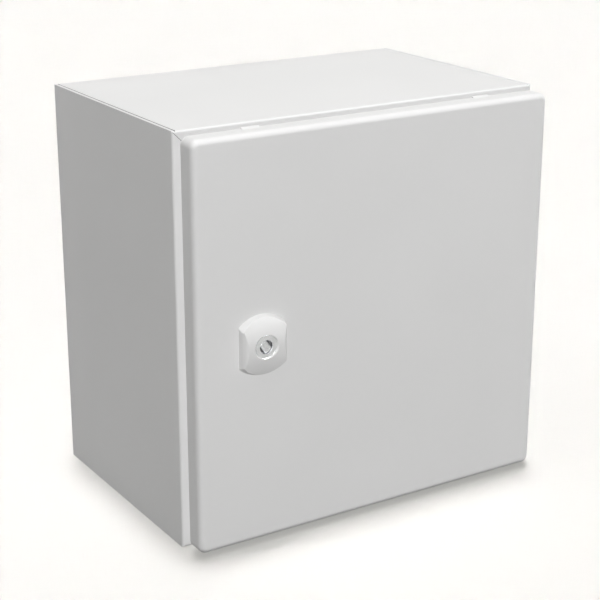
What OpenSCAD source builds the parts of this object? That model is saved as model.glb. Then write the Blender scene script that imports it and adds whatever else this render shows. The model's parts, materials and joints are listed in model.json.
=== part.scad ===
// Wall-mounting sheet-steel enclosure with a hinged door and a quarter-turn lock.
// Every sub-part is drawn lying on its back: x to the right, y up, z away from the wall.
// stand() then turns it upright, so the finished part has its front towards -Y and +Z up,
// with its origin in the middle of the wall holes on the rear face.

/* [Body] */
// Overall width of the body
body_w = 300; // [240:1:480]
// Overall height of the body
body_h = 300; // [240:1:480]
// Depth of the body from the wall face to the front flange
body_d = 188; // [150:0.5:300]
// Sheet thickness of the body
body_sheet = 1.2; // [1:0.1:2]
// Inside radius of the body's folds
fold_r = 0.4; // [0.3:0.1:2]
// Width of the front flange, from the side of the body to the rim
flange_w = 17.5; // [16.5:0.5:24]
// Height of the rim in front of the flange
rim_h = 13.5; // [9:0.5:14]
// Outside radius of the rim's corners
rim_corner_r = 8; // [7:0.5:20]
// Distance of the long weld seams from the sides of the body
seam_inset = 2.3; // [1.5:0.1:4]
// Width of the weld seams left between the sheets
seam_w = 0.9; // [0.4:0.1:1]
// Depth of the weld seams
seam_depth = 0.6; // [0.2:0.1:0.8]
// Distance of each wall hole from the sides of the body
wall_hole_inset = 25; // [20:1:40]
// Radius of the wall holes
wall_hole_r = 4.25; // [3:0.05:6]

/* [Door] */
// Distance the door stands in from each side of the body
door_inset = 2.5; // [1.5:0.1:4]
// Gap between the flange and the rear edge of the door
door_gap = 7; // [6.6:0.1:9]
// Depth of the door's folded return, with the front sheet
door_d = 15; // [12:0.5:20]
// Sheet thickness of the door
door_sheet = 1.5; // [1.2:0.1:2]
// Outside radius along the door's front edges
door_edge_r = 4.2; // [2:0.1:5.5]
// Outside radius of the door's four corners
door_corner_r = 6; // [3:0.5:14]
// Distance of each pressed lip from the middle of the door
lip_x = 96; // [60:1:105]
// Length of a pressed lip
lip_len = 14; // [8:1:24]
// Height of a pressed lip above the return
lip_proud = 0.9; // [0.4:0.1:1.4]
// Reach of a pressed lip along the return
lip_reach = 3; // [2:0.5:5]
// Width of the foamed gasket in the door
gasket_w = 9; // [7:0.5:9.5]
// Rounding of the gasket's free edges
gasket_r = 2.5; // [1.5:0.1:3]
// Clearance between the gasket and the rim with the door closed
gasket_clear = 0.3; // [0.2:0.1:1]

/* [Hinges] */
// Distance of each hinge from the top or bottom of the body
hinge_inset = 55; // [40:1:90]
// Length of a hinge
hinge_len = 40; // [36:1:60]
// Length of each outer knuckle
outer_knuckle_len = 10; // [8:0.5:12]
// Radius of the hinge pin
pin_r = 2; // [1.5:0.1:2.2]
// Running clearance round the pin
pin_clear = 0.05; // [0.03:0.01:0.1]
// Room between a knuckle and what it passes
knuckle_clear = 0.3; // [0.2:0.05:0.5]
// Thickness of the hinge bracket and of the hinge leaf
hinge_t = 2; // [1.5:0.1:2.5]
// Distance of the hinge screws from the ends of the hinge
hinge_screw_inset = 8; // [6:0.5:12]
// Radius of the bracket screws
bracket_screw_r = 2; // [1.5:0.1:2]
// Radius of the leaf studs
leaf_stud_r = 1.5; // [1.2:0.1:1.5]

/* [Lock] */
// Distance of the lock from the side of the body
lock_inset = 53; // [45:1:80]
// Half the height of the lock housing
lock_half_h = 22; // [20:0.5:26]
// Radius of the housing's outline at its top and bottom
lock_arc_r = 26; // [25:0.5:40]
// Lean of the housing's top and bottom walls, in degrees
lock_draft = 20; // [10:1:25]
// Width of the lock housing across its flat sides
lock_flat_w = 35.5; // [32:0.5:38]
// Radius of the housing's domed front, seen from the side
lock_dome_r = 50; // [36:1:80]
// Rounding along the flat sides of the housing
lock_side_r = 5; // [1:0.1:6]
// Height of the housing's wall at its top and bottom
lock_wall_h = 2.7; // [2.5:0.1:5]
// Radius of the barrel through the door
barrel_r = 11; // [10.5:0.5:12]
// Width of the barrel across its flats
barrel_flat_w = 20; // [18:0.5:20.5]
// Radius of the turning insert
insert_r = 8.5; // [7.5:0.1:9]
// Radius of the insert's shaft
shaft_r = 6; // [5.8:0.1:6.5]
// Depth of the insert's face under the top of the dome
insert_recess = 1.2; // [0.9:0.1:2]
// Thickness of the insert's head
insert_head_t = 4.8; // [4:0.1:5.5]
// Radius of the key hole in the insert
key_hole_r = 5; // [4.2:0.1:5.5]
// Depth of the key hole
key_hole_depth = 3.5; // [3:0.5:12]
// Radius of the key pin
key_pin_r = 1.6; // [1.2:0.1:2]
// Width of the key pin's two wings
key_wing_w = 2.6; // [1.5:0.1:3]
// Direction of the wings when unlocked, from +X
key_wing_angle = 124; // [0:1:180]
// Width of the square that drives the cam
drive_w = 8; // [7:0.1:8]
// Thickness of the cam
cam_t = 3; // [2.5:0.1:4]
// Width of the cam
cam_w = 16; // [14:0.5:20]
// How far the locked cam reaches behind the flange
cam_grip = 6.5; // [4:0.5:9]
// Room between the locked cam and the flange
cam_clear = 0.6; // [0.3:0.1:1.5]
// Thickness of the lock nut
lock_nut_t = 5; // [4:0.5:6]
// Width of the lock nut across its flats
lock_nut_af = 28; // [26:0.5:32]

/* [Mounting plate] */
// Clearance from the plate's edges to the mouth
plate_clear = 4; // [2:0.5:8]
// Thickness of the mounting plate
plate_t = 2; // [1.5:0.1:3]
// Length of the spacers behind the mounting plate
spacer_len = 12; // [8:0.5:20]
// Outside radius of the spacers
spacer_r = 8; // [6.5:0.5:10]
// Distance of the plate's studs from its left and right edges
plate_stud_inset_x = 12; // [11:0.5:20]
// Distance of the plate's studs from its top and bottom edges
plate_stud_inset_y = 32; // [30:1:60]
// Room left round each wall hole by the plate's corner notches
notch_room = 16; // [10:1:18]

/* [Gland plate] */
// Distance of the base cut-out from the sides of the body
gland_side = 50; // [40:1:70]
// Distance of the base cut-out from the wall face
gland_rear = 50; // [45:1:60]
// Distance of the base cut-out from the front flange
gland_front = 49.5; // [45:0.5:60]
// Width of the gland plate's border round the cut-out
gland_border = 12; // [11:0.5:16]
// Thickness of the gland plate
gland_t = 2; // [1.5:0.1:3]
// Thickness of the gland gasket
gland_gasket_t = 3; // [2:0.1:4]

/* [Fasteners] */
// Radius of the plate studs and earth studs
stud_r = 4; // [3:0.1:4]
// Radius of the gland studs
gland_stud_r = 2.5; // [2:0.1:2.5]
// Length of the earth studs
earth_stud_len = 18; // [14:0.5:20]
// Distance of the body's earth stud from the side and from the flange
earth_inset = 22; // [18:0.5:26]
// Distance of the door's earth stud from the door's side and bottom
door_earth_inset = 45; // [38:0.5:60]
// Radial clearance of fasteners in nuts and round press parts
seat_clear = 0.05; // [0.03:0.01:0.1]
// Radial clearance of fasteners in their holes
hole_clear = 0.3; // [0.2:0.05:0.5]

/* [Hidden] */
$fn = 64;
over = 1; // how far a cut runs past a face
fold_out_r = fold_r + body_sheet;

// Levels measured from the wall face
flange_z = body_d;
flange_rear_z = flange_z - body_sheet;
rim_z = flange_z + rim_h;
door_rear_z = flange_z + door_gap;
door_front_z = door_rear_z + door_d;
door_inner_z = door_front_z - door_sheet;
gasket_z = rim_z + gasket_clear;

// Rim and mouth
rim_w = body_w - 2 * flange_w;
rim_height = body_h - 2 * flange_w;
mouth_w = rim_w - 2 * body_sheet;
mouth_h = rim_height - 2 * body_sheet;

// Door outline
door_w = body_w - 2 * door_inset;
door_h = body_h - 2 * door_inset;

// Hinge axis, in the middle of the door's return sheet and of the gap behind it
axis_x = door_w / 2 - door_sheet / 2;
axis_z = flange_z + door_gap / 2;
knuckle_r = door_gap / 2 - knuckle_clear;
hinge_ys = [body_h / 2 - hinge_inset, hinge_inset - body_h / 2];
hinge_screw_y = hinge_len / 2 - hinge_screw_inset;
inner_knuckle_len = hinge_len - 2 * outer_knuckle_len - 2 * knuckle_clear;
bracket_x0 = rim_w / 2 + fold_r + 0.5;
bracket_x1 = axis_x - knuckle_r - knuckle_clear;
bracket_screw_x = (bracket_x0 + bracket_x1) / 2;
bracket_z = flange_z + hinge_t;
leaf_seat_gap = 0.2;
leaf_x1 = door_w / 2 - door_sheet - leaf_seat_gap;
leaf_web_x = leaf_x1 - hinge_t;
gasket_outer_x = rim_w / 2 - body_sheet / 2 + gasket_w / 2;
leaf_x0 = gasket_outer_x + 0.5;
leaf_bend_r = max(hinge_t, door_edge_r - door_sheet) + 0.5;
leaf_stud_x = (leaf_x0 + leaf_x1 - leaf_bend_r) / 2;
leaf_foot_z = door_inner_z - hinge_t;
leaf_web_z = axis_z + knuckle_r + 4 * knuckle_clear;
pin_head_r = knuckle_r - 0.2;
pin_head_t = 1.2;
pin_end = 1;
bracket_nut_t = 3.2;
bracket_nut_af = 3.5 * bracket_screw_r;
leaf_nut_t = 2.4;
leaf_nut_af = 3.6 * leaf_stud_r;

// Lock
lock_x = lock_inset - body_w / 2;
lock_h = lock_wall_h + lock_dome_r - sqrt(pow(lock_dome_r, 2) - pow(lock_half_h, 2));
lock_top_z = door_front_z + lock_h;
insert_face_z = lock_top_z - insert_recess;
insert_head_z = insert_face_z - insert_head_t;
head_seat_gap = 0.2;
cam_front_z = flange_rear_z - cam_clear;
cam_rear_z = cam_front_z - cam_t;
cam_len = rim_w / 2 + lock_x + cam_grip;
barrel_rear_z = cam_front_z + 2.6;
lock_hole_clear = 0.25;
seal_t = 1;
seal_in_r = barrel_r + 1;
seal_out_r = seal_in_r + 3;
seal_room = 0.2;
cam_screw_r = 2.5;
cam_screw_depth = 10;
cam_head_r = 5.5;
cam_head_t = 3.5;

// Mounting plate
plate_w = mouth_w - 2 * plate_clear;
plate_h = mouth_h - 2 * plate_clear;
plate_z = body_sheet + spacer_len;
plate_studs_at = [for (sx = [-1, 1], sy = [-1, 1])
    [sx * (plate_w / 2 - plate_stud_inset_x), sy * (plate_h / 2 - plate_stud_inset_y)]];
wall_hole_x = body_w / 2 - wall_hole_inset;
wall_hole_y = body_h / 2 - wall_hole_inset;
notch_w = plate_w / 2 - wall_hole_x + notch_room;
notch_h = plate_h / 2 - wall_hole_y + notch_room;
washer_t = 1.6;
washer_r = 2 * stud_r;
stud_nut_t = 6.5;
stud_nut_af = 13 / 4 * stud_r;
stud_end = 2.5;
plate_stud_top = plate_z + plate_t + washer_t + stud_nut_t + stud_end;

// Gland plate, drawn on the base with the wall behind it
base_y = body_sheet - body_h / 2;
gland_cut_w = body_w - 2 * gland_side;
gland_cut_d = body_d - gland_rear - gland_front;
gland_z = gland_rear + gland_cut_d / 2;
gland_plate_w = gland_cut_w + 2 * gland_border;
gland_plate_d = gland_cut_d + 2 * gland_border;
gland_corner_r = 4;
gland_lip = 2;
gland_nut_t = 4.7;
gland_nut_af = 3.2 * gland_stud_r;
gland_studs_at = [for (sx = [-1, 0, 1], sz = [-1, 1])
    [sx * (gland_cut_w + gland_border) / 2, sz * (gland_cut_d + gland_border) / 2]];
gland_top = gland_gasket_t + gland_t;
gland_stud_len = gland_top + gland_nut_t + stud_end;

// Colours
paint = [0.80, 0.80, 0.79];
lock_grey = [0.84, 0.84, 0.83];
zinc = [0.70, 0.71, 0.72];
galvanised = [0.66, 0.68, 0.69];
nickel = [0.76, 0.75, 0.73];
foam = [0.22, 0.22, 0.23];

// Turns a shape drawn on its back upright
module stand() {
    rotate([90, 0, 0]) children();
}

// Places a shape drawn flat on the inside of the base, with y away from the base
module on_base() {
    translate([0, base_y, gland_z]) rotate([-90, 0, 0]) children();
}

module rounded_square(w, h, r) {
    square([w - 2 * r, h], center = true);
    square([w, h - 2 * r], center = true);
    for (sx = [-1, 1], sy = [-1, 1])
        translate([sx * (w / 2 - r), sy * (h / 2 - r)]) circle(r);
}

module rounded_plate(w, h, r, t) {
    linear_extrude(t) rounded_square(w, h, r);
}

// Carries a section round a rounded rectangle: its x points outwards, its y becomes z
module loop_sweep(w, h, r) {
    for (k = [0:3]) {
        across = k % 2 == 0 ? w : h;
        along = k % 2 == 0 ? h : w;
        rotate([0, 0, 90 * k]) {
            translate([across / 2, along / 2 - r, 0])
                rotate([90, 0, 0]) linear_extrude(along - 2 * r) children();
            translate([across / 2 - r, along / 2 - r, 0])
                rotate_extrude(angle = 90) translate([r, 0]) children();
        }
    }
}

// A quarter of a ring between two radii, in the quadrant that the signs name
module quarter_ring(r_out, r_in, sx, sy) {
    intersection() {
        difference() {
            circle(r_out);
            circle(r_in);
        }
        translate([sx > 0 ? 0 : -r_out, sy > 0 ? 0 : -r_out]) square(r_out);
    }
}

// A box folded along its rear and front edges, with square long edges
module folded_box(w, h, z0, z1, r) {
    d = z1 - z0;
    translate([0, 0, (z0 + z1) / 2]) intersection() {
        rotate([90, 0, 0]) linear_extrude(h, center = true) rounded_square(w, d, r);
        rotate([0, 90, 0]) linear_extrude(w, center = true) rounded_square(d, h, r);
    }
}

module hex_nut(af, t, bore_r) {
    difference() {
        cylinder(r = af / sqrt(3), h = t, $fn = 6);
        translate([0, 0, -over]) cylinder(r = bore_r, h = t + 2 * over);
    }
}

// Hexagon nut with a flange that bears on what it holds
module flange_nut(af, t, r) {
    flange_t = t / 4;
    difference() {
        union() {
            cylinder(r = 0.66 * af, h = flange_t);
            cylinder(r = af / sqrt(3), h = t, $fn = 6);
        }
        translate([0, 0, -over]) cylinder(r = r + seat_clear, h = t + 2 * over);
    }
}

// Welded stud with a small pointed end
module weld_stud(r, len) {
    tip = r / 4;
    cylinder(r = r, h = len - tip);
    translate([0, 0, len - tip]) cylinder(r1 = r, r2 = r - tip, h = tip);
}

// The fold between the flange and the rim, and the rim itself
module rim_section() {
    translate([fold_r, fold_r]) quarter_ring(fold_out_r, fold_r, -1, -1);
    translate([-body_sheet, fold_r]) square([body_sheet, rim_h - fold_r]);
}

module seams() {
    for (sx = [-1, 1], sy = [-1, 1]) {
        translate([sx * (body_w / 2 - seam_inset - seam_w / 2), sy * body_h / 2, flange_z / 2])
            cube([seam_w, 2 * seam_depth, flange_z + 2 * over], center = true);
        translate([sx * body_w / 2, sy * body_h / 2, flange_z]) rotate([0, 0, sx * sy * 45])
            cube([2 * flange_w * sqrt(2) - 4 * fold_r, seam_w, 2 * seam_depth], center = true);
    }
}

module bracket_screws_at() {
    for (y = hinge_ys, s = [-1, 1])
        translate([bracket_screw_x, y + s * hinge_screw_y, 0]) children();
}

module leaf_studs_at() {
    for (y = hinge_ys, s = [-1, 1])
        translate([leaf_stud_x, y + s * hinge_screw_y, door_inner_z]) mirror([0, 0, 1]) children();
}

module body_shell() {
    t = body_sheet;
    cut_grow = 2 * fold_r;
    color(paint) stand() difference() {
        union() {
            difference() {
                folded_box(body_w, body_h, 0, flange_z, fold_out_r);
                folded_box(body_w - 2 * t, body_h - 2 * t, t, flange_rear_z, fold_r);
                translate([0, 0, flange_rear_z - over])
                    rounded_plate(rim_w + cut_grow, rim_height + cut_grow, rim_corner_r + fold_r, t + 2 * over);
            }
            translate([0, 0, flange_z]) loop_sweep(rim_w, rim_height, rim_corner_r) rim_section();
        }
        seams();
        for (sx = [-1, 1], sy = [-1, 1])
            translate([sx * wall_hole_x, sy * wall_hole_y, -over]) cylinder(r = wall_hole_r, h = t + 2 * over);
        bracket_screws_at()
            translate([0, 0, flange_rear_z - over]) cylinder(r = bracket_screw_r + hole_clear, h = t + 2 * over);
        on_base() translate([0, 0, -t - over])
            rounded_plate(gland_cut_w, gland_cut_d, gland_corner_r, t + 2 * over);
    }
}

module mounting_plate() {
    color(galvanised) stand() translate([0, 0, plate_z]) difference() {
        linear_extrude(plate_t) square([plate_w, plate_h], center = true);
        for (sx = [-1, 1], sy = [-1, 1])
            translate([sx * plate_w / 2, sy * plate_h / 2, plate_t / 2])
                cube([2 * notch_w, 2 * notch_h, plate_t + 2 * over], center = true);
        for (p = plate_studs_at)
            translate([p.x, p.y, -over]) cylinder(r = stud_r + hole_clear, h = plate_t + 2 * over);
    }
}

module plate_studs() {
    color(zinc) stand() for (p = plate_studs_at)
        translate([p.x, p.y, body_sheet]) weld_stud(stud_r, plate_stud_top - body_sheet);
}

module plate_spacers() {
    color(zinc) stand() for (p = plate_studs_at)
        translate([p.x, p.y, body_sheet]) difference() {
            cylinder(r = spacer_r, h = spacer_len);
            translate([0, 0, -over]) cylinder(r = stud_r + hole_clear, h = spacer_len + 2 * over);
        }
}

module plate_washers() {
    color(zinc) stand() for (p = plate_studs_at)
        translate([p.x, p.y, plate_z + plate_t]) difference() {
            cylinder(r = washer_r, h = washer_t);
            translate([0, 0, -over]) cylinder(r = stud_r + hole_clear, h = washer_t + 2 * over);
        }
}

module plate_nuts() {
    color(zinc) stand() for (p = plate_studs_at)
        translate([p.x, p.y, plate_z + plate_t + washer_t])
            hex_nut(stud_nut_af, stud_nut_t, stud_r + seat_clear);
}

module gland_plate() {
    color(paint) stand() on_base() translate([0, 0, gland_gasket_t]) difference() {
        rounded_plate(gland_plate_w, gland_plate_d, gland_corner_r, gland_t);
        for (p = gland_studs_at)
            translate([p.x, p.y, -over]) cylinder(r = gland_stud_r + hole_clear, h = gland_t + 2 * over);
    }
}

module gland_gasket() {
    hole_w = gland_cut_w + 2 * gland_lip;
    hole_d = gland_cut_d + 2 * gland_lip;
    color(foam) stand() on_base() difference() {
        rounded_plate(gland_plate_w, gland_plate_d, gland_corner_r, gland_gasket_t);
        translate([0, 0, -over]) rounded_plate(hole_w, hole_d, gland_corner_r, gland_gasket_t + 2 * over);
        for (p = gland_studs_at)
            translate([p.x, p.y, -over]) cylinder(r = gland_stud_r + hole_clear, h = gland_gasket_t + 2 * over);
    }
}

module gland_studs() {
    color(zinc) stand() on_base() for (p = gland_studs_at)
        translate([p.x, p.y, 0]) weld_stud(gland_stud_r, gland_stud_len);
}

module gland_nuts() {
    color(zinc) stand() on_base() for (p = gland_studs_at)
        translate([p.x, p.y, gland_top]) flange_nut(gland_nut_af, gland_nut_t, gland_stud_r);
}

// Places a shape on the inside of the base, near the front right corner
module at_body_earth() {
    translate([body_w / 2 - earth_inset, base_y, flange_z - earth_inset]) rotate([-90, 0, 0]) children();
}

module body_earth_stud() {
    color(zinc) stand() at_body_earth() weld_stud(stud_r, earth_stud_len);
}

module body_earth_nut() {
    color(zinc) stand() at_body_earth() flange_nut(stud_nut_af, stud_nut_t, stud_r);
}

// Bracket on the flange, with a knuckle at each end
module hinge_bracket(y) {
    outer_y = hinge_len / 2 - outer_knuckle_len;
    color(zinc) stand() translate([0, y, 0]) difference() {
        union() {
            translate([bracket_x0, -hinge_len / 2, flange_z])
                cube([bracket_x1 - bracket_x0, hinge_len, hinge_t]);
            for (y0 = [-hinge_len / 2, outer_y]) {
                translate([bracket_x0, y0, flange_z])
                    cube([axis_x - bracket_x0, outer_knuckle_len, hinge_t]);
                translate([axis_x, y0, axis_z]) rotate([-90, 0, 0])
                    cylinder(r = knuckle_r, h = outer_knuckle_len);
            }
        }
        translate([axis_x, -hinge_len / 2 - over, axis_z]) rotate([-90, 0, 0])
            cylinder(r = pin_r + pin_clear, h = hinge_len + 2 * over);
        for (s = [-1, 1])
            translate([bracket_screw_x, s * hinge_screw_y, flange_z - over])
                cylinder(r = bracket_screw_r + hole_clear, h = hinge_t + 2 * over);
    }
}

module hinge_bracket_upper() {
    hinge_bracket(hinge_ys[0]);
}

module hinge_bracket_lower() {
    hinge_bracket(hinge_ys[1]);
}

// Headed pin, put in from above
module hinge_pin(y) {
    color(nickel) stand() translate([axis_x, y - hinge_len / 2 - pin_end, axis_z]) rotate([-90, 0, 0]) {
        cylinder(r = pin_r, h = hinge_len + pin_end);
        translate([0, 0, hinge_len + pin_end]) cylinder(r = pin_head_r, h = pin_head_t);
    }
}

module hinge_pin_upper() {
    hinge_pin(hinge_ys[0]);
}

module hinge_pin_lower() {
    hinge_pin(hinge_ys[1]);
}

module hinge_screws() {
    head_r = 1.7 * bracket_screw_r;
    head_t = 1.2 * bracket_screw_r;
    slot_w = 0.4 * bracket_screw_r;
    shank_z = flange_rear_z - bracket_nut_t - 1;
    color(zinc) stand() bracket_screws_at() difference() {
        union() {
            translate([0, 0, shank_z]) cylinder(r = bracket_screw_r, h = bracket_z - shank_z);
            translate([0, 0, bracket_z]) cylinder(r = head_r, h = head_t);
        }
        translate([0, 0, bracket_z + head_t])
            cube([2 * head_r + over, slot_w, head_t], center = true);
    }
}

module hinge_nuts() {
    color(zinc) stand() bracket_screws_at() translate([0, 0, flange_rear_z - bracket_nut_t])
        hex_nut(bracket_nut_af, bracket_nut_t, bracket_screw_r + seat_clear);
}

// The return, the rounded front edge and the border of the front sheet
module door_section() {
    t = door_sheet;
    r = door_edge_r;
    translate([-t, 0]) square([t, door_d - r]);
    translate([-r, door_d - r]) quarter_ring(r, r - t, 1, 1);
    translate([-door_corner_r, door_d - t]) square([door_corner_r - r, t]);
}

// Small lip pressed outwards at the rear edge of the top or bottom return
module door_lip() {
    rotate([90, 0, 90]) linear_extrude(lip_len, center = true)
        polygon([[-door_sheet / 2, 0], [lip_proud, 0], [lip_proud, 0.5], [0, lip_reach], [-door_sheet / 2, lip_reach]]);
}

module barrel_outline(grow) {
    intersection() {
        circle(barrel_r + grow);
        square([2 * barrel_r + 4 * grow, barrel_flat_w + 2 * grow], center = true);
    }
}

module door_panel() {
    flat_w = door_w - 2 * door_corner_r;
    flat_h = door_h - 2 * door_corner_r;
    color(paint) stand() translate([0, 0, door_rear_z]) difference() {
        union() {
            loop_sweep(door_w, door_h, door_corner_r) door_section();
            translate([0, 0, door_d - door_sheet]) linear_extrude(door_sheet) square([flat_w, flat_h], center = true);
            for (sx = [-1, 1], a = [0, 180])
                rotate([0, 0, a]) translate([sx * lip_x, door_h / 2, 0]) door_lip();
        }
        translate([lock_x, 0, door_d - door_sheet - over])
            linear_extrude(door_sheet + 2 * over) barrel_outline(lock_hole_clear);
    }
}

// Foamed bead with a flat back on the door and two rounded free edges
module gasket_section() {
    h = door_inner_z - gasket_z;
    flat = gasket_w - 2 * gasket_r;
    translate([-gasket_w / 2, gasket_r]) square([gasket_w, h - gasket_r]);
    translate([-flat / 2, 0]) square([flat, gasket_r]);
    for (s = [-1, 1]) translate([s * flat / 2, gasket_r]) circle(gasket_r);
}

module door_gasket() {
    color(foam) stand() translate([0, 0, gasket_z])
        loop_sweep(rim_w - body_sheet, rim_height - body_sheet, rim_corner_r - body_sheet / 2) gasket_section();
}

// Bent section of the leaf: its foot on the door and its web along the return
module leaf_section() {
    bend_x = leaf_x1 - leaf_bend_r;
    bend_z = door_inner_z - leaf_bend_r;
    translate([leaf_x0, leaf_foot_z]) square([bend_x - leaf_x0, hinge_t]);
    translate([bend_x, bend_z]) quarter_ring(leaf_bend_r, leaf_bend_r - hinge_t, 1, 1);
    translate([leaf_web_x, leaf_web_z]) square([hinge_t, bend_z - leaf_web_z]);
}

// Angle on the inside of the door, with the middle knuckle
module hinge_leaf(y) {
    color(zinc) stand() translate([0, y, 0]) difference() {
        union() {
            rotate([90, 0, 0]) linear_extrude(hinge_len, center = true) leaf_section();
            translate([leaf_web_x, -inner_knuckle_len / 2, axis_z])
                cube([hinge_t, inner_knuckle_len, leaf_web_z + hinge_t - axis_z]);
            translate([axis_x, -inner_knuckle_len / 2, axis_z]) rotate([-90, 0, 0])
                cylinder(r = knuckle_r, h = inner_knuckle_len);
        }
        translate([axis_x, -inner_knuckle_len / 2 - over, axis_z]) rotate([-90, 0, 0])
            cylinder(r = pin_r + pin_clear, h = inner_knuckle_len + 2 * over);
        for (s = [-1, 1])
            translate([leaf_stud_x, s * hinge_screw_y, leaf_foot_z - over])
                cylinder(r = leaf_stud_r + hole_clear, h = hinge_t + 2 * over);
    }
}

module hinge_leaf_upper() {
    hinge_leaf(hinge_ys[0]);
}

module hinge_leaf_lower() {
    hinge_leaf(hinge_ys[1]);
}

module leaf_studs() {
    color(zinc) stand() leaf_studs_at() weld_stud(leaf_stud_r, hinge_t + leaf_nut_t + 1);
}

module leaf_nuts() {
    color(zinc) stand() leaf_studs_at() translate([0, 0, hinge_t]) rotate([0, 0, 30])
        hex_nut(leaf_nut_af, leaf_nut_t, leaf_stud_r + seat_clear);
}

// Places a shape on the inside of the door, near its lower hinge
module at_door_earth() {
    translate([door_w / 2 - door_earth_inset, door_earth_inset - door_h / 2, door_inner_z])
        mirror([0, 0, 1]) children();
}

module door_earth_stud() {
    color(zinc) stand() at_door_earth() weld_stud(stud_r, earth_stud_len);
}

module door_earth_nut() {
    color(zinc) stand() at_door_earth() flange_nut(stud_nut_af, stud_nut_t, stud_r);
}

// Side view of the domed housing: x along its height, y away from the door
module dome_section() {
    intersection() {
        translate([0, lock_h - lock_dome_r]) circle(lock_dome_r);
        translate([-lock_dome_r, 0]) square([2 * lock_dome_r, 2 * lock_h]);
    }
}

// Section across the housing: flat sides with a rounded front edge
module flats_section() {
    top_y = lock_h + 0.06;
    intersection() {
        rounded_square(lock_flat_w, 2 * top_y, lock_side_r);
        translate([-lock_flat_w, 0]) square([2 * lock_flat_w, 2 * top_y]);
    }
}

// One arc of the housing's outline with its leaning wall: side 1 is the top, -1 the bottom
module lock_arc(side) {
    tall = lock_h + over;
    translate([0, side * (lock_half_h - lock_arc_r), 0])
        cylinder(r1 = lock_arc_r, r2 = lock_arc_r - tall * tan(lock_draft), h = tall);
}

module lock_housing() {
    mouth_chamfer = 0.5;
    color(lock_grey) stand() translate([lock_x, 0, 0]) difference() {
        union() {
            translate([0, 0, door_front_z]) intersection() {
                lock_arc(1);
                lock_arc(-1);
                rotate([90, 0, 90]) linear_extrude(2 * lock_arc_r, center = true) dome_section();
                rotate([90, 0, 0]) linear_extrude(2 * lock_arc_r, center = true) flats_section();
            }
            translate([0, 0, barrel_rear_z])
                linear_extrude(door_front_z - barrel_rear_z + lock_wall_h) barrel_outline(0);
        }
        translate([0, 0, barrel_rear_z - over]) cylinder(r = shaft_r + pin_clear, h = lock_top_z);
        translate([0, 0, insert_head_z - head_seat_gap]) cylinder(r = insert_r + pin_clear, h = lock_h);
        translate([0, 0, lock_top_z - 2 * mouth_chamfer])
            cylinder(r1 = insert_r, r2 = insert_r + 3 * mouth_chamfer, h = 3 * mouth_chamfer);
        translate([0, 0, door_front_z - over]) difference() {
            cylinder(r = seal_out_r + seal_room, h = over + seal_t + seal_room);
            cylinder(r = seal_in_r - seal_room, h = over + seal_t + seal_room);
        }
    }
}

module lock_seal() {
    color(foam) stand() translate([lock_x, 0, door_front_z]) difference() {
        cylinder(r = seal_out_r, h = seal_t);
        translate([0, 0, -over]) cylinder(r = seal_in_r, h = seal_t + 2 * over);
    }
}

module lock_nut() {
    color(zinc) stand() translate([lock_x, 0, door_inner_z - lock_nut_t])
        hex_nut(lock_nut_af, lock_nut_t, barrel_r + seat_clear);
}

// Turning insert with a round key hole, a key pin with two wings and a square drive
module lock_insert() {
    wing_r = key_hole_r - 0.8;
    key_drop = 0.8;
    color(nickel) stand() translate([lock_x, 0, 0]) difference() {
        union() {
            translate([0, 0, insert_head_z]) cylinder(r = insert_r, h = insert_head_t);
            translate([0, 0, cam_front_z]) cylinder(r = shaft_r, h = insert_head_z - cam_front_z + over);
            translate([-drive_w / 2, -drive_w / 2, cam_rear_z]) cube([drive_w, drive_w, cam_t + over]);
        }
        translate([0, 0, insert_face_z - key_hole_depth]) difference() {
            cylinder(r = key_hole_r, h = key_hole_depth + over);
            cylinder(r = key_pin_r, h = key_hole_depth - key_drop);
            intersection() {
                rotate([0, 0, key_wing_angle]) translate([-wing_r, -key_wing_w / 2, 0])
                    cube([2 * wing_r, key_wing_w, key_hole_depth - key_drop]);
                cylinder(r = wing_r, h = key_hole_depth);
            }
        }
        translate([0, 0, cam_rear_z - over]) cylinder(r = cam_screw_r + seat_clear, h = cam_screw_depth + over);
    }
}

// Locking arm, pointing up when unlocked
module lock_cam() {
    end_r = cam_w / 2;
    color(zinc) stand() translate([lock_x, 0, cam_rear_z]) linear_extrude(cam_t) difference() {
        union() {
            circle(end_r + 1);
            translate([-end_r, 0]) square([cam_w, cam_len - end_r]);
            translate([0, cam_len - end_r]) circle(end_r);
        }
        square(drive_w + 2 * seat_clear, center = true);
    }
}

module cam_screw() {
    socket_r = 2.3;
    socket_t = 2;
    color(zinc) stand() translate([lock_x, 0, 0]) difference() {
        union() {
            translate([0, 0, cam_rear_z]) cylinder(r = cam_screw_r, h = cam_screw_depth - 1);
            translate([0, 0, cam_rear_z - cam_head_t]) cylinder(r = cam_head_r, h = cam_head_t);
        }
        translate([0, 0, cam_rear_z - cam_head_t - over]) cylinder(r = socket_r, h = socket_t + over, $fn = 6);
    }
}

body_shell();
mounting_plate();
plate_studs();
plate_spacers();
plate_washers();
plate_nuts();
gland_plate();
gland_gasket();
gland_studs();
gland_nuts();
body_earth_stud();
body_earth_nut();
hinge_bracket_upper();
hinge_bracket_lower();
hinge_pin_upper();
hinge_pin_lower();
hinge_screws();
hinge_nuts();
door_panel();
door_gasket();
hinge_leaf_upper();
hinge_leaf_lower();
leaf_studs();
leaf_nuts();
door_earth_stud();
door_earth_nut();
lock_housing();
lock_seal();
lock_nut();
lock_insert();
lock_cam();
cam_screw();
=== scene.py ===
import json
import math

import bmesh
import bpy
from mathutils import Euler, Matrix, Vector, noise


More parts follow.
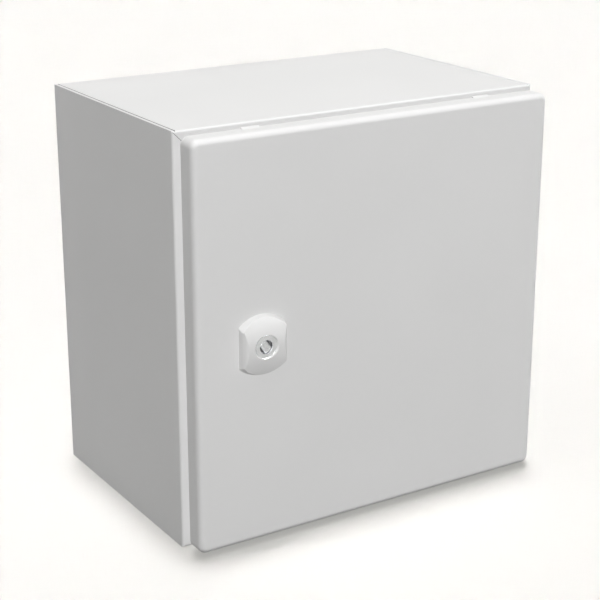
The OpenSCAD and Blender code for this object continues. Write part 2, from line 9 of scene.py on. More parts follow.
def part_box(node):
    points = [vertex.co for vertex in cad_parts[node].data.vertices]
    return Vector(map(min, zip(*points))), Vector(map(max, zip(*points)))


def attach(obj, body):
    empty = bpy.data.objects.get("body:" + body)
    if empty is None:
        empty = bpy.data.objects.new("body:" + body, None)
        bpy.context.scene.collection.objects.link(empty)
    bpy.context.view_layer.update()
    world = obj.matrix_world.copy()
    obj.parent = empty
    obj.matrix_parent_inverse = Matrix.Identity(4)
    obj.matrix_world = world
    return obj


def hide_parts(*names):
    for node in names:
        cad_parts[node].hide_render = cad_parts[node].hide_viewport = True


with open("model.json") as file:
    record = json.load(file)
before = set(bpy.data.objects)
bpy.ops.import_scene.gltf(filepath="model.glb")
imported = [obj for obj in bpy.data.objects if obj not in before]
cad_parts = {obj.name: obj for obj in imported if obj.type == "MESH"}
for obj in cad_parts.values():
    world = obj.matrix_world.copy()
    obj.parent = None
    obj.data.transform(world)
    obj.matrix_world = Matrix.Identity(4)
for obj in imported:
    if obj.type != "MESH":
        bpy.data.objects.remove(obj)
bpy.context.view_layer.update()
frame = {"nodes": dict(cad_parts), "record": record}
nodes = frame["nodes"]
scene = bpy.context.scene
print("frame loaded:", len(nodes), "nodes")

# Camera at the photograph's viewing angle
cameraSet = {
    "place": (-0.60154, -1.06494, 0.37095),
    "target": (0.0139, -0.0826, -0.0251),
    "lens": 93.204,
    "sensor": 36.0,
}


def makeCamera(settings):
    data = bpy.data.cameras.new("camera")
    data.lens = settings["lens"]
    data.sensor_width = settings["sensor"]
    camera = bpy.data.objects.new("camera", data)
    camera.location = settings["place"]
    looking = Vector(settings["target"]) - Vector(settings["place"])
    camera.rotation_mode = "QUATERNION"
    camera.rotation_quaternion = looking.to_track_quat("-Z", "Y")
    scene.collection.objects.link(camera)
    scene.camera = camera


makeCamera(cameraSet)


class Sock:  # a node's output that takes part in Python sums
    def __init__(self, finish, out):
        self.finish = finish
        self.out = out

    def other(self, name):  # another output of the same node
        return Sock(self.finish, self.out.node.outputs[name])

    def maths(self, operation, a, b):
        return self.finish.node("ShaderNodeMath", {"operation": operation}, {0: a, 1: b})

    def __add__(self, other):
        return self.maths("ADD", self, other)

    def __radd__(self, other):
        return self.maths("ADD", other, self)

    def __sub__(self, other):
        return self.maths("SUBTRACT", self, other)

    def __rsub__(self, other):
        return self.maths("SUBTRACT", other, self)

    def __mul__(self, other):
        return self.maths("MULTIPLY", self, other)

    def __rmul__(self, other):
        return self.maths("MULTIPLY", other, self)


class Finish:  # the nodes of a new material, or of the tree that is given
    def __init__(self, name, tree=None):
        if tree is None:
            self.material = bpy.data.materials.new(name)
            self.material.use_nodes = True
            tree = self.material.node_tree
        self.tree = tree
        self.tree.nodes.clear()

    def node(self, kind, settings=None, values=None, out=0):  # a list as a value is a set of links
        made = self.tree.nodes.new(kind)
        for key, value in (settings or {}).items():
            setattr(made, key, value)
        for key, value in (values or {}).items():
            for item in value if isinstance(value, list) else [value]:
                if isinstance(item, Sock):
                    self.tree.links.new(item.out, made.inputs[key])
                else:
                    made.inputs[key].default_value = item
        return Sock(self, made.outputs[out]) if made.outputs else None

    def place(self):
        return self.node("ShaderNodeTexCoord", out="Object")

    def noise(self, place, scale, detail, rough=0.5):
        values = {"Vector": place, "Scale": scale, "Detail": detail, "Roughness": rough}
        return self.node("ShaderNodeTexNoise", None, values)

    def blend(self, factor, first, second):
        values = {0: factor, 6: first, 7: second}
        return self.node("ShaderNodeMix", {"data_type": "RGBA"}, values, out=2)

    def between(self, value, low, high):  # eases from 0 at low to 1 at high
        settings = {"interpolation_type": "SMOOTHSTEP"}
        return self.node("ShaderNodeMapRange", settings, {"Value": value, "From Min": low, "From Max": high})

    def bump(self, height, distance, strength):
        values = {"Height": height, "Distance": distance, "Strength": strength}
        return self.node("ShaderNodeBump", None, values)

    def end(self, **values):
        named = {key.replace("_", " "): value for key, value in values.items()}
        shader = self.node("ShaderNodeBsdfPrincipled", None, named)
        self.node("ShaderNodeOutputMaterial", None, {"Surface": shader})
        return self.material


def span(value, low, high):  # low where the value is 0, high where it is 1
    return low + (high - low) * value


def grey(level, warm):
    return (level * (1 + warm), level, level * (1 - warm), 1.0)


def tones(settings):  # darkest and palest grey of a finish
    return [grey(settings["level"] * (1 + side * settings["spread"]), settings["warm"]) for side in (-1, 1)]


# Powder coat on the shell and the door
coatSet = {
    "level": 0.607, "warm": 0.002, "spread": 0.012,
    "cloud": (9.0, 3.0), "speck": (2600.0, 1.0),  # a noise has a scale, a detail and perhaps a roughness
    "speckShare": 0.4, "fade": (0.35, 0.65),
    "peel": (520.0, 2.5), "peelHeight": 0.00003, "speckHeight": 0.25, "bump": 0.5,
    "rough": (0.44, 0.56), "sheen": 0.34,
}


def makeCoat(settings):
    coat = Finish("powderCoat")
    place = coat.place()
    peel = coat.noise(place, *settings["peel"])
    cloud = coat.noise(place, *settings["cloud"])
    speck = coat.noise(place, *settings["speck"])
    share = settings["speckShare"]
    shade = coat.between(cloud * (1 - share) + speck * share, *settings["fade"])
    colour = coat.blend(shade, *tones(settings))
    rough = span(peel, *settings["rough"])
    normal = coat.bump(peel + settings["speckHeight"] * speck, settings["peelHeight"], settings["bump"])
    return coat.end(Base_Color=colour, Roughness=rough, Specular_IOR_Level=settings["sheen"], Normal=normal)


# Semi-gloss paint on the die-cast lock housing
lockCoatSet = {
    "level": 0.62, "warm": 0.002, "spread": 0.015, "cloud": (60.0, 2.0),
    "grain": (700.0, 2.0), "grainHeight": 0.00001, "bump": 0.4,
    "rough": (0.36, 0.44),
}


def makeLockCoat(settings):
    coat = Finish("lockCoat")
    place = coat.place()
    grain = coat.noise(place, *settings["grain"])
    colour = coat.blend(coat.noise(place, *settings["cloud"]), *tones(settings))
    normal = coat.bump(grain, settings["grainHeight"], settings["bump"])
    return coat.end(Base_Color=colour, Roughness=span(grain, *settings["rough"]), Normal=normal)


# Satin nickel on the hinge pins, and on the lock insert, where painted shade darkens the key hole deeper in
# and the metal is rougher there
nickelSet = {
    "colour": (0.72, 0.72, 0.71, 1.0), "dull": (0.62, 0.62, 0.61, 1.0),
    "cloud": (180.0, 3.0), "fade": (0.3, 0.75),
    "drawn": (1.0, 0.15, 1.0), "scratch": (2400.0, 3.0, 0.6), "scratchHeight": 0.00001, "bump": 0.5,
    "rough": (0.16, 0.32),
}
insertSet = {
    **nickelSet,
    "colour": (0.80, 0.81, 0.83, 1.0), "dull": (0.72, 0.73, 0.75, 1.0),
    "rough": (0.14, 0.30),
    # colour of the painted shade in the key hole, and the roughness added there
    "holeShade": (0.20, 0.20, 0.205, 1.0), "holeRough": 0.3,
    "hole": (0.0046, 0.0052), "deep": (0.0002, 0.0023),  # radius and depth over which the painted shade in the key hole sets in
}


def insertFace():  # middle of the lock insert seen from the front, and where its face is
    low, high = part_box("lock_insert")
    return Vector(((low.x + high.x) / 2, (low.z + high.z) / 2)), low.y


# painted shade: 1 inside the key hole's radius and below the insert's face
def holeShadeOf(nickel, place, settings):
    centre, face = insertFace()
    flat = nickel.node("ShaderNodeVectorMath", {"operation": "MULTIPLY"}, {0: place, 1: (1.0, 0.0, 1.0)})
    axis = (centre.x, 0.0, centre.y)
    away = nickel.node("ShaderNodeVectorMath", {"operation": "DISTANCE"}, {0: flat, 1: axis}, out="Value")
    depth = nickel.node("ShaderNodeSeparateXYZ", None, {0: place}, out="Y") - face
    return (1 - nickel.between(away, *settings["hole"])) * nickel.between(depth, *settings["deep"])


def makeNickel(name, settings):
    nickel = Finish(name)
    place = nickel.place()
    drawn = nickel.node("ShaderNodeMapping", None, {"Vector": place, "Scale": settings["drawn"]})
    scratch = nickel.noise(drawn, *settings["scratch"])
    cloud = nickel.noise(place, *settings["cloud"])
    colour = nickel.blend(nickel.between(cloud, *settings["fade"]), settings["colour"], settings["dull"])
    rough = span(scratch, *settings["rough"])
    # the key hole is darkened with painted shade and made rougher
    if "holeShade" in settings:
        holeShadeMask = holeShadeOf(nickel, place, settings)
        colour = nickel.blend(holeShadeMask, colour, settings["holeShade"])
        rough = rough + settings["holeRough"] * holeShadeMask
    normal = nickel.bump(scratch, settings["scratchHeight"], settings["bump"])
    return nickel.end(Base_Color=colour, Metallic=1.0, Roughness=rough, Normal=normal)


# Bright zinc plate on screws, nuts, hinges, the cam and the studs
zincSet = {
    "blue": (0.56, 0.58, 0.61, 1.0), "straw": (0.62, 0.58, 0.50, 1.0),
    "cloud": (70.0, 4.0, 0.6), "fade": (0.42, 0.72),
    "grain": (1800.0, 2.0), "grainHeight": 0.000012, "bump": 0.5,
    "rough": 0.22, "cloudRough": 0.22, "grainRough": 0.08,
}


def makeZinc(settings):
    zinc = Finish("zincPlate")
    place = zinc.place()
    cloud = zinc.noise(place, *settings["cloud"])
    grain = zinc.noise(place, *settings["grain"])
    colour = zinc.blend(zinc.between(cloud, *settings["fade"]), settings["blue"], settings["straw"])
    rough = settings["rough"] + settings["cloudRough"] * cloud + settings["grainRough"] * grain
    normal = zinc.bump(grain, settings["grainHeight"], settings["bump"])
    return zinc.end(Base_Color=colour, Metallic=1.0, Roughness=rough, Normal=normal)


# Hot-dip galvanised sheet with its spangle, on the mounting plate
spangleSet = {
    "pale": (0.60, 0.62, 0.64, 1.0), "dark": (0.40, 0.42, 0.44, 1.0),
    "size": 85.0, "wander": (60.0, 2.0), "bend": (0.012, 0.012, 0.012),
    "fern": (900.0, 3.0, 0.6), "fernShare": 0.25, "fernHeight": 0.4, "height": 0.00002, "bump": 0.3,
    "rough": 0.30, "toneRough": 0.22, "fernRough": 0.06,
}


def makeSpangle(settings):
    sheet = Finish("galvanisedSheet")
    place = sheet.place()
    wander = sheet.noise(place, *settings["wander"]).other("Color")
    bent = sheet.node("ShaderNodeVectorMath", {"operation": "MULTIPLY_ADD"},
                      {0: wander, 1: settings["bend"], 2: place})
    values = {"Vector": bent, "Scale": settings["size"]}
    cells = sheet.node("ShaderNodeTexVoronoi", None, values, out="Color")
    tone = sheet.node("ShaderNodeSeparateColor", None, {0: cells})
    fern = sheet.noise(place, *settings["fern"])
    share = settings["fernShare"]
    colour = sheet.blend((1 - share) * tone + share * fern, settings["pale"], settings["dark"])
    rough = settings["rough"] + settings["toneRough"] * tone + settings["fernRough"] * fern
    normal = sheet.bump(tone + settings["fernHeight"] * fern, settings["height"], settings["bump"])
    return sheet.end(Base_Color=colour, Metallic=1.0, Roughness=rough, Normal=normal)


# Foamed gaskets
foamSet = {
    "dark": (0.028, 0.028, 0.030, 1.0), "pale": (0.055, 0.055, 0.057, 1.0),
    "cell": 1400.0, "cellShare": 0.7, "skin": (260.0, 3.0), "skinShare": 0.5, "fade": (0.3, 0.9),
    "skinHeight": 1.5, "height": 0.00008, "bump": 0.6,
    "rough": (0.72, 0.92),
}


def makeFoam(settings):
    foam = Finish("gasketFoam")
    place = foam.place()
    values = {"Vector": place, "Scale": settings["cell"]}
    cells = foam.node("ShaderNodeTexVoronoi", None, values, out="Distance")
    skin = foam.noise(place, *settings["skin"])
    shade = foam.between(cells * settings["cellShare"] + skin * settings["skinShare"], *settings["fade"])
    colour = foam.blend(shade, settings["dark"], settings["pale"])
    normal = foam.bump(cells + settings["skinHeight"] * skin, settings["height"], settings["bump"])
    return foam.end(Base_Color=colour, Roughness=span(skin, *settings["rough"]), Normal=normal)


# Painted shade: a dark strip for the shade in the seam grooves of the shell
seamShadeLookSet = {
    "level": 0.03, "warm": 0.0, "spread": 0.2,
    "grain": (900.0, 3.0), "height": 0.00002, "bump": 0.5,
    "rough": (0.65, 0.85), "sheen": 0.15,
}


def makeSeamShadeLook(settings):
    sealant = Finish("seamSealant")
    grain = sealant.noise(sealant.place(), *settings["grain"])
    colour = sealant.blend(grain, *tones(settings))
    rough = span(grain, *settings["rough"])
    normal = sealant.bump(grain, settings["height"], settings["bump"])
    return sealant.end(Base_Color=colour, Roughness=rough, Normal=normal,
                       Specular_IOR_Level=settings["sheen"])


finishes = {
    "paint": makeCoat(coatSet),
    "lock_paint": makeLockCoat(lockCoatSet),
    "nickel": makeNickel("satinNickel", nickelSet),
    "insert": makeNickel("insertNickel", insertSet),
    "zinc": makeZinc(zincSet),
    "galvanised": makeSpangle(spangleSet),
    "foam": makeFoam(foamSet),
    # painted shade for the seams and the hairline
    "sealant": makeSeamShadeLook(seamShadeLookSet),
}
for subpart in frame["record"]["subparts"]:
    node, slot = subpart["node"], subpart["material_slot"]
    mesh = nodes[node].data
    mesh.materials.clear()
    mesh.materials.append(finishes["insert" if node == "lock_insert" else slot])
print("finishes made:", len(finishes))

tiny = 1e-6  # points closer than this are one, and no divisor is smaller


def islandsOf(node):  # box of each separate solid of a CAD node
    work = bmesh.new()
    work.from_mesh(nodes[node].data)
    bmesh.ops.remove_doubles(work, verts=work.verts, dist=tiny)
    left, boxes = set(work.verts), []
    while left:
        reached, edge = set(), [left.pop()]
        while edge:
            vert = edge.pop()
            reached.add(vert)
            near = {link.other_vert(vert) for link in vert.link_edges} & left
            left -= near
            edge.extend(near)
        lowest = Vector([min(vert.co[i] for vert in reached) for i in range(3)])
        highest = Vector([max(vert.co[i] for vert in reached) for i in range(3)])
        boxes.append((lowest, highest))
    work.free()
    return sorted(boxes, key=lambda box: tuple(round(v, 5) for v in box[0]))


def addPiece(name, mesh, body, standsFor=()):
    mesh.name = name
    piece = bpy.data.objects.new(name, mesh)
    scene.collection.objects.link(piece)
    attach(piece, body)
    if standsFor:
        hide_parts(*standsFor)


def meshOf(work, finish, smooth=True):
    bmesh.ops.recalc_face_normals(work, faces=work.faces)
    mesh = bpy.data.meshes.new("made")
    work.to_mesh(mesh)
    work.free()
    mesh.materials.append(finish)
    mesh.polygons.foreach_set("use_smooth", [smooth] * len(mesh.polygons))
    return mesh


def loft(rings, closed=True, capped=False):  # skin over rings of points
    work = bmesh.new()
    rows = [[work.verts.new(point) for point in ring] for ring in rings]
    pairs = list(zip(rows, rows[1:])) + ([(rows[-1], rows[0])] if closed else [])
    for first, second in pairs:
        for i in range(len(first)):
            k = (i + 1) % len(first)
            work.faces.new((first[i], first[k], second[k], second[i]))
    if capped:
        work.faces.new(rows[0][::-1])
        work.faces.new(rows[-1])
    return work


def joinMeshes(parts):  # several work meshes in one
    work = bmesh.new()
    for part in parts:
        carrier = bpy.data.meshes.new("part")
        part.to_mesh(carrier)
        part.free()
        work.from_mesh(carrier)
        bpy.data.meshes.remove(carrier)
    return work


def anglesRound(count):  # even steps round a full turn
    return [2 * math.pi * k / count for k in range(count)]


def outAt(angle):
    return Vector((math.cos(angle), math.sin(angle)))


# Turns that bring a piece drawn along +Z to where it points
turns = {"front": (math.pi / 2, 0.0, 0.0), "rear": (-math.pi / 2, 0.0, 0.0), "up": (0.0, 0.0, 0.0)}


def growTree(name, inputs):  # an empty node group and its named inputs
    group = bpy.data.node_groups.new(name, "GeometryNodeTree")
    kinds = {"Points": "Geometry", **inputs}
    for label, kind in kinds.items():
        group.interface.new_socket(label, in_out="INPUT", socket_type="NodeSocket" + kind)
    group.interface.new_socket("Mesh", in_out="OUTPUT", socket_type="NodeSocketGeometry")
    tree = Finish(name, group)
    return tree, {label: tree.node("NodeGroupInput", out=label) for label in kinds}


def endTree(tree, shape, finish):
    made = tree.node("GeometryNodeRealizeInstances", None, {0: shape})
    made = tree.node("GeometryNodeSetShadeSmooth", None, {0: made, "Shade Smooth": True})
    made = tree.node("GeometryNodeSetMaterial", None, {0: made, "Material": finish})
    tree.node("NodeGroupOutput", None, {0: made})
    return tree.tree


def grow(tree, points, edges, values):  # runs a node group on points and gives a plain mesh
    seedMesh = bpy.data.meshes.new("seeds")
    seedMesh.from_pydata([tuple(point) for point in points], edges, [])
    seeds = bpy.data.objects.new("seeds", seedMesh)
    scene.collection.objects.link(seeds)
    modifier = seeds.modifiers.new("grow", "NODES")
    modifier.node_group = tree
    for item in tree.interface.items_tree:
        if item.in_out == "INPUT" and item.name in values:
            modifier[item.identifier] = values[item.name]
    reader = bpy.context.evaluated_depsgraph_get()
    mesh = bpy.data.meshes.new_from_object(seeds.evaluated_get(reader), depsgraph=reader)
    seeds.modifiers.remove(modifier)
    bpy.data.objects.remove(seeds)
    return mesh


# Threaded rods in place of the studs
threadSet = {"around": 28, "perTurn": 8, "fewest": 24, "tipTurns": 1.2, "crest": (0.10, 0.40)}
threadSizes = {
    "thick": {"pitch": 0.00125, "depth": 0.00055},
    "middle": {"pitch": 0.0010, "depth": 0.00045},
    "thin": {"pitch": 0.0005, "depth": 0.00025},
}
rodSets = {
    "plate_studs": {"size": "thick", "body": "body", "towards": "front",
                    "threads": "plateStudThreads", "welds": "plateStudWelds"},
    "gland_studs": {"size": "middle", "body": "body", "towards": "up",
                    "threads": "glandStudThreads", "welds": "glandStudWelds"},
    "body_earth_stud": {"size": "thick", "body": "body", "towards": "up",
                        "threads": "bodyEarthThread", "welds": "bodyEarthWeld"},
    "door_earth_stud": {"size": "thick", "body": "door", "towards": "rear",
                        "threads": "doorEarthThread", "welds": "doorEarthWeld"},
    "leaf_studs": {"size": "thin", "body": "door", "towards": "rear",
                   "threads": "leafStudThreads", "welds": "leafStudWelds"},
}


def makeRodTree(finish, settings):  # a grid rolled round its axis, with the thread as a wave on it
    tree, given = growTree("threadedRod", {
        "Length": "Float", "Radius": "Float", "Pitch": "Float", "Depth": "Float", "Tip": "Float",
        "Around": "Int", "Along": "Int", "Turn": "Vector"})

    def maths(operation, *values, **options):
        return tree.node("ShaderNodeMath", {"operation": operation, **options}, dict(enumerate(values)))

    grid = tree.node("GeometryNodeMeshGrid", None, {
        "Size X": 1.0, "Size Y": 1.0, "Vertices X": given["Around"] + 1, "Vertices Y": given["Along"]})
    place = tree.node("ShaderNodeSeparateXYZ", None, {0: tree.node("GeometryNodeInputPosition")})
    part = place + 0.5
    along = (place.other("Y") + 0.5) * given["Length"]
    wave = maths("PINGPONG", maths("DIVIDE", along, given["Pitch"]) - part, 0.5)
    crest = tree.between(wave, *settings["crest"])
    root = maths("DIVIDE", along, given["Tip"], use_clamp=True)
    tip = maths("DIVIDE", given["Length"] - along, given["Tip"], use_clamp=True)
    core = given["Radius"] - given["Depth"]
    out = core + given["Depth"] * crest * root * tip
    angle = part * (2 * math.pi)
    spot = tree.node("ShaderNodeCombineXYZ", None, {
        "X": maths("COSINE", angle) * out, "Y": maths("SINE", angle) * out, "Z": along})
    wall = tree.node("GeometryNodeSetPosition", None, {"Geometry": grid, "Position": spot})
    cap = tree.node("GeometryNodeMeshCircle", {"fill_type": "NGON"}, {
        "Vertices": given["Around"], "Radius": core})
    high = tree.node("ShaderNodeCombineXYZ", None, {"Z": given["Length"]})
    top = tree.node("GeometryNodeTransform", None, {"Geometry": cap, "Translation": high})
    bottom = tree.node("GeometryNodeFlipFaces", None, {0: cap})
    whole = tree.node("GeometryNodeJoinGeometry", None, {0: [bottom, top, wall]})
    rod = tree.node("GeometryNodeMergeByDistance", None, {0: whole, "Distance": tiny})
    turned = tree.node("FunctionNodeEulerToRotation", None, {0: given["Turn"]})
    copies = tree.node("GeometryNodeInstanceOnPoints", None, {
        "Points": given["Points"], "Instance": rod, "Rotation": turned})
    return endTree(tree, copies, finish)


def footOf(box, towards):  # the end of a solid that stands on the sheet, its length and its radius
    low, high = box
    middle = (low + high) / 2
    if towards == "up":
        return Vector((middle.x, middle.y, low.z)), high.z - low.z, (high.x - low.x) / 2
    start = high.y if towards == "front" else low.y
    return Vector((middle.x, start, middle.z)), high.y - low.y, (high.x - low.x) / 2


def feetOf(node, towards):  # feet of a node's solids, with the length and radius that they share
    feet = [footOf(box, towards) for box in islandsOf(node)]
    return [foot[0] for foot in feet], feet[0][1], feet[0][2]


rodTree = makeRodTree(finishes["zinc"], threadSet)
rodFeet = {node: feetOf(node, rodSet["towards"]) for node, rodSet in rodSets.items()}
for node, rodSet in rodSets.items():
    feet, length, radius = rodFeet[node]
    size = threadSizes[rodSet["size"]]
    steps = max(threadSet["fewest"], int(length / size["pitch"] * threadSet["perTurn"]))
    threads = grow(rodTree, feet, [], {
        "Length": length, "Radius": radius, "Pitch": size["pitch"], "Depth": size["depth"],
        "Tip": threadSet["tipTurns"] * size["pitch"], "Around": threadSet["around"], "Along": steps,
        "Turn": turns[rodSet["towards"]]})
    addPiece(rodSet["threads"], threads, rodSet["body"], [node])
print("threads cut:", len(rodSets), "sets")

# Weld collar round the foot of each stud
collarSet = {
    "rise": 0.0009, "rough": 0.00018, "forRadius": 0.004,  # on a stud of this radius, less on a thinner one
    "around": 30, "section": 8,
    "wobble": {"Scale": 1600.0, "Detail": 2.0}, "seed": 4, "seedStep": 3.7,
}


def makeCollarTree(finish, settings):
    tree, given = growTree("weldCollar", {
        "Radius": "Float", "Rise": "Float", "Rough": "Float", "Seed": "Int", "Turn": "Vector"})

    def circle(points, radius):
        values = {"Resolution": points, "Radius": radius}
        return tree.node("GeometryNodeCurvePrimitiveCircle", {"mode": "RADIUS"}, values)

    tube = tree.node("GeometryNodeCurveToMesh", None, {
        "Curve": circle(settings["around"], given["Radius"]),
        "Profile Curve": circle(settings["section"], given["Rise"])})
    wobble = tree.node("ShaderNodeTexNoise", {"noise_dimensions": "4D"}, {
        **settings["wobble"], "W": given["Seed"] * settings["seedStep"]}, out="Color")
    centred = tree.node("ShaderNodeVectorMath", {"operation": "SUBTRACT"}, {0: wobble, 1: (0.5, 0.5, 0.5)})
    swing = given["Rough"] * 2.0
    push = tree.node("ShaderNodeVectorMath", {"operation": "SCALE"}, {0: centred, "Scale": swing})
    bead = tree.node("GeometryNodeSetPosition", None, {"Geometry": tube, "Offset": push})
    spin = tree.node("FunctionNodeRandomValue", {"data_type": "FLOAT"}, {
        2: 0.0, 3: 2 * math.pi, "Seed": given["Seed"]}, out=1)
    about = tree.node("ShaderNodeCombineXYZ", None, {"Z": spin})
    turned = tree.node("FunctionNodeEulerToRotation", None, {0: given["Turn"]})
    spun = tree.node("FunctionNodeEulerToRotation", None, {0: about})
    both = tree.node("FunctionNodeRotateRotation", {"rotation_space": "LOCAL"}, {0: turned, 1: spun})
    copies = tree.node("GeometryNodeInstanceOnPoints", None, {
        "Points": given["Points"], "Instance": bead, "Rotation": both})
    return endTree(tree, copies, finish)


collarTree = makeCollarTree(finishes["paint"], collarSet)
for node, rodSet in rodSets.items():
    feet, _, radius = rodFeet[node]
    scale = radius / collarSet["forRadius"]
    collars = grow(collarTree, feet, [], {
        "Radius": radius, "Rise": collarSet["rise"] * scale, "Rough": collarSet["rough"] * scale,
        "Seed": collarSet["seed"], "Turn": turns[rodSet["towards"]]})
    addPiece(rodSet["welds"], collars, rodSet["body"])
print("weld collars laid:", len(rodSets), "sets")

# Hexagon nuts with chamfered corners, and with a flange on the plate, gland and earth studs
nutSizes = {
    "thick": {"flats": 0.013, "bore": 0.0041, "flange": 0.00858, "turned": 0.0},
    "middle": {"flats": 0.0096, "bore": 0.0031, "flange": 0.00634, "turned": 0.0},
    "hinge": {"flats": 0.0070, "bore": 0.0021, "flange": 0.0, "turned": 0.0},
    "leaf": {"flats": 0.0054, "bore": 0.0016, "flange": 0.0, "turned": 30.0},
    "lock": {"flats": 0.028, "bore": 0.0110, "flange": 0.0, "turned": 0.0},
}
nutSets = {
    "plate_nuts": {"piece": "plateNutsCut", "body": "body", "towards": "front", "size": "thick"},
    "gland_nuts": {"piece": "glandNutsCut", "body": "body", "towards": "up", "size": "middle"},
    "body_earth_nut": {"piece": "bodyEarthNutCut", "body": "body", "towards": "up", "size": "thick"},
    "door_earth_nut": {"piece": "doorEarthNutCut", "body": "door", "towards": "rear", "size": "thick"},
    "hinge_nuts": {"piece": "hingeNutsCut", "body": "body", "towards": "rear", "size": "hinge"},
    "leaf_nuts": {"piece": "leafNutsCut", "body": "door", "towards": "rear", "size": "leaf"},
    "lock_nut": {"piece": "lockNutCut", "body": "door", "towards": "rear", "size": "lock"},
}
nutSteps = {
    "around": 48, "chamfer": 3,
    "chamferHigh": 0.11, "flangeHigh": 0.14, "flangeTop": 0.30,  # shares of the nut's thickness
    "capShare": 0.97, "ease": 0.05,  # shares of half its width and of its width
    "flangeEase": 0.0003,
}


def nutProfile(size, thick, angle):  # radius and height round one section of a nut
    half = size["flats"] / 2
    corner = half / math.cos(math.radians(30))
    sixth = math.radians(60)
    hexRadius = half / math.cos((angle % sixth) - sixth / 2)
    low = half * nutSteps["capShare"]
    ease = nutSteps["ease"] * size["flats"]
    shares = [k / nutSteps["chamfer"] for k in range(nutSteps["chamfer"] + 1)]
    rise = [nutSteps["chamferHigh"] * thick * share for share in shares]
    caps = [min(hexRadius, low + (corner - low) * share) for share in shares]
    flange, lip = size["flange"], nutSteps["flangeEase"]
    if flange:
        foot = [(flange - lip, 0.0), (flange, lip), (flange, nutSteps["flangeHigh"] * thick),
                (hexRadius, nutSteps["flangeTop"] * thick)]
    else:
        foot = list(zip(caps, rise))
    head = [(cap, thick - z) for cap, z in zip(caps[::-1], rise[::-1])]
    bore = size["bore"]
    return [(bore, ease), (bore + ease, 0.0)] + foot + head + [(bore + ease, thick), (bore, thick - ease)]


def makeNuts(node, nutSet):
    size = nutSizes[nutSet["size"]]
    rotation = Euler(turns[nutSet["towards"]]).to_matrix()
    shift = math.radians(size["turned"])
    feet, thick, _ = feetOf(node, nutSet["towards"])
    nuts = []
    for foot in feet:
        rings = []
        for angle in anglesRound(nutSteps["around"]):
            out = outAt(angle + shift)
            rings.append([foot + rotation @ Vector((radius * out.x, radius * out.y, height))
                          for radius, height in nutProfile(size, thick, angle)])
        nuts.append(loft(rings))
    mesh = meshOf(joinMeshes(nuts), finishes["zinc"], False)
    addPiece(nutSet["piece"], mesh, nutSet["body"], [node])


for node, nutSet in nutSets.items():
    makeNuts(node, nutSet)
print("nuts cut:", len(nutSets), "sets")

cornerSteps = 8  # pieces of each rounded corner below


def roundedPath(halfX, halfY, radius, step):  # points and outward directions round a rounded rectangle
    path = []
    corners = ((1, 1, 0.0), (-1, 1, 0.5), (-1, -1, 1.0), (1, -1, 1.5))  # signs and first angle in half turns
    for k, (signX, signY, start) in enumerate(corners):
        centre = Vector((signX * (halfX - radius), signY * (halfY - radius)))
        for i in range(cornerSteps + 1):
            out = outAt(math.pi * (start + 0.5 * i / cornerSteps))
            path.append((centre + radius * out, out))
        nextX, nextY, _ = corners[(k + 1) % 4]
        goal = Vector((nextX * (halfX - radius), nextY * (halfY - radius))) + radius * out
        begin = path[-1][0]
        count = max(1, int((goal - begin).length / step))
        path.extend((begin.lerp(goal, i / count), out) for i in range(1, count))
    return path


# Foamed bead that is poured on the inside of the door. A wave is a scale and a layer of the noise
beadSet = {
    "width": 0.009, "cornerRadius": 0.0074, "step": 0.004, "points": 17, "fill": 0.985,
    "crown": 0.5, "shoulder": 0.8,
    "wander": 0.035, "wideWave": (60, 3.0), "tallWave": (45, 8.0),
    "skin": 0.00006, "skinScale": 400, "skinStep": 0.9,
}


def waveAt(spot, scale, layer):
    return noise.noise(Vector((spot.x * scale, spot.y * scale, layer)))


def makeBead(settings):
    low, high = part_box("door_gasket")
    half = settings["width"] / 2
    tall = high.y - low.y
    last = settings["points"] - 1
    rings = []
    for spot, out in roundedPath(high.x - half, high.z - half, settings["cornerRadius"], settings["step"]):
        wide = half * (settings["fill"] - settings["wander"] * abs(waveAt(spot, *settings["wideWave"])))
        rise = tall * (1.0 - settings["wander"] * abs(waveAt(spot, *settings["tallWave"])))
        ring = []
        for k in range(settings["points"]):
            angle = math.pi * k / last
            across = wide * math.copysign(abs(math.cos(angle)) ** settings["shoulder"], math.cos(angle))
            up = rise * math.sin(angle) ** settings["crown"] if 0 < k < last else 0.0
            skin = settings["skin"] * waveAt(spot, settings["skinScale"], k * settings["skinStep"])
            flat = spot + out * (across + skin)
            ring.append((flat.x, low.y + up, flat.y))
        rings.append(ring)
    addPiece("doorGasketBead", meshOf(loft(rings), finishes["foam"]), "door", ["door_gasket"])


makeBead(beadSet)

# Flat foam under the gland plate and the ring under the lock
glandFoamSet = {"width": 0.010, "cornerRadius": 0.0035, "step": 0.004, "bulge": 0.0006, "corner": 1.5}
sealSet = {"inner": 0.0118, "around": 64, "bulge": 0.0003}
foamEdge = ((0.0, 0.25), (0.25, 0.8), (0.5, 1.0), (0.75, 0.8), (1.0, 0.25))  # height and bulge, as shares


def flatRing(spots, low, high, bulge):  # flat foam ring with soft bulging edges
    rings = []
    for inner, outer in spots:
        side = (outer - inner).normalized()
        ring = [(outer + side * bulge * (push - 1.0), low + (high - low) * share)
                for share, push in foamEdge]
        ring += [(inner - side * bulge * (push - 1.0), low + (high - low) * share)
                 for share, push in reversed(foamEdge)]
        rings.append(ring)
    return rings


def makeFlatFoam(settings):
    low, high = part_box("gland_gasket")
    middle = (low + high) / 2
    halfX, halfY = (high.x - low.x) / 2, (high.y - low.y) / 2
    spots = []
    for spot, out in roundedPath(halfX, halfY, settings["cornerRadius"], settings["step"]):
        outer = spot + middle.xy
        square = Vector([max(-1.0, min(1.0, part * settings["corner"])) for part in out])
        spots.append((outer - settings["width"] * square, outer))
    flat = flatRing(spots, low.z, high.z, settings["bulge"])
    rings = [[(point.x, point.y, z) for point, z in ring] for ring in flat]
    addPiece("glandFoam", meshOf(loft(rings), finishes["foam"]), "body", ["gland_gasket"])


